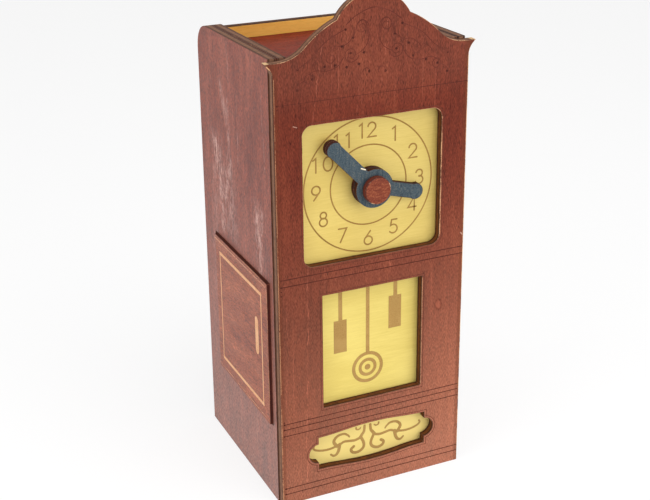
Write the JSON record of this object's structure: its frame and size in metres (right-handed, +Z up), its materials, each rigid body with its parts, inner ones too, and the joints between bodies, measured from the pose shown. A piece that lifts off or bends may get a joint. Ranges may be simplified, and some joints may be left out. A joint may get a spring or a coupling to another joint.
{
  "type": "clock diversion safe",
  "caption": "Small plywood tower clock with a crested front that hides a locked compartment behind a side door; turning the hands to the right time frees the lock bar.",
  "frame": {"origin": "middle of the underside of the case, on the surface it stands on", "axes": "+Z up; -Y is the front with the dial; +X to the right seen from the front; the door is in the -X side"},
  "size_m": [0.0798, 0.0773, 0.1905],
  "materials": {
    "stained_wood": "satin red-brown stain over a vertical-grain veneer, dark laser-cut edges",
    "stained_side": "satin red-brown stain that turns pinkish grey in raking light",
    "yellow_wood": "yellow stained veneer with brown engraved lines",
    "bare_wood": "stained outside, bare honey-coloured veneer inside",
    "pale_plywood": "bare plywood with brown laser-cut edges",
    "blue_wood": "thin grey-blue stain with brown cut edges",
    "red_wood": "red stain with brown cut edges",
    "dowel_wood": "turned dowel, bare",
    "steel_wire": "bright wire",
    "felt": "dark felt"
  },
  "bodies": {
    "case": {"front_panel": "stained_wood", "dial_plate": "yellow_wood", "pendulum_plate": "yellow_wood", "plaque_plate": "yellow_wood", "outer_side_left": "stained_side", "outer_side_right": "stained_side", "inner_side_left": "stained_wood", "inner_side_right": "stained_wood", "back_panel": "bare_wood", "base_board": "stained_wood", "middle_shelf": "stained_wood", "tray_floor": "stained_wood", "compartment_divider": "pale_plywood", "movement_plate": "pale_plywood", "door_bumper_top": "felt", "door_bumper_bottom": "felt", "bar_guide_left": "pale_plywood", "bar_guide_right": "pale_plywood", "bar_keeper": "pale_plywood"},
    "door": {"door_leaf": "stained_wood", "door_backing": "pale_plywood", "door_hook": "pale_plywood", "hinge_pin_top": "steel_wire", "hinge_pin_bottom": "steel_wire"},
    "lock": {"lock_bar": "pale_plywood", "lock_arm": "pale_plywood", "lock_rail_left": "pale_plywood", "lock_rail_right": "pale_plywood", "fence_pin": "dowel_wood", "lock_pull": "pale_plywood"},
    "hour": {"hour_hand": "blue_wood", "hour_tube": "dowel_wood", "hour_disc": "pale_plywood", "hour_ring": "pale_plywood"},
    "minute": {"knob": "red_wood", "minute_hand": "blue_wood", "minute_shaft": "dowel_wood", "minute_ring": "pale_plywood", "minute_disc": "pale_plywood", "shaft_collar": "pale_plywood"}
  },
  "joints": [
    {"name": "door_hinge", "type": "hinge", "parent": "case", "child": "door", "pos_m": [-0.0365, 0.0226, 0.0598], "axis": [0, 0, -1], "range_deg": [0, 100]},
    {"name": "lock_lift", "type": "slide", "parent": "case", "child": "lock", "axis": [0, 0, 1], "range_m": [0, 0.009]},
    {"name": "minute_turn", "type": "hinge", "parent": "case", "child": "minute", "pos_m": [0, -0.0367, 0.1209], "axis": [0, 1, 0], "continuous": true},
    {"name": "hour_turn", "type": "hinge", "parent": "case", "child": "hour", "pos_m": [0, -0.0345, 0.1209], "axis": [0, 1, 0], "continuous": true}
  ]
}
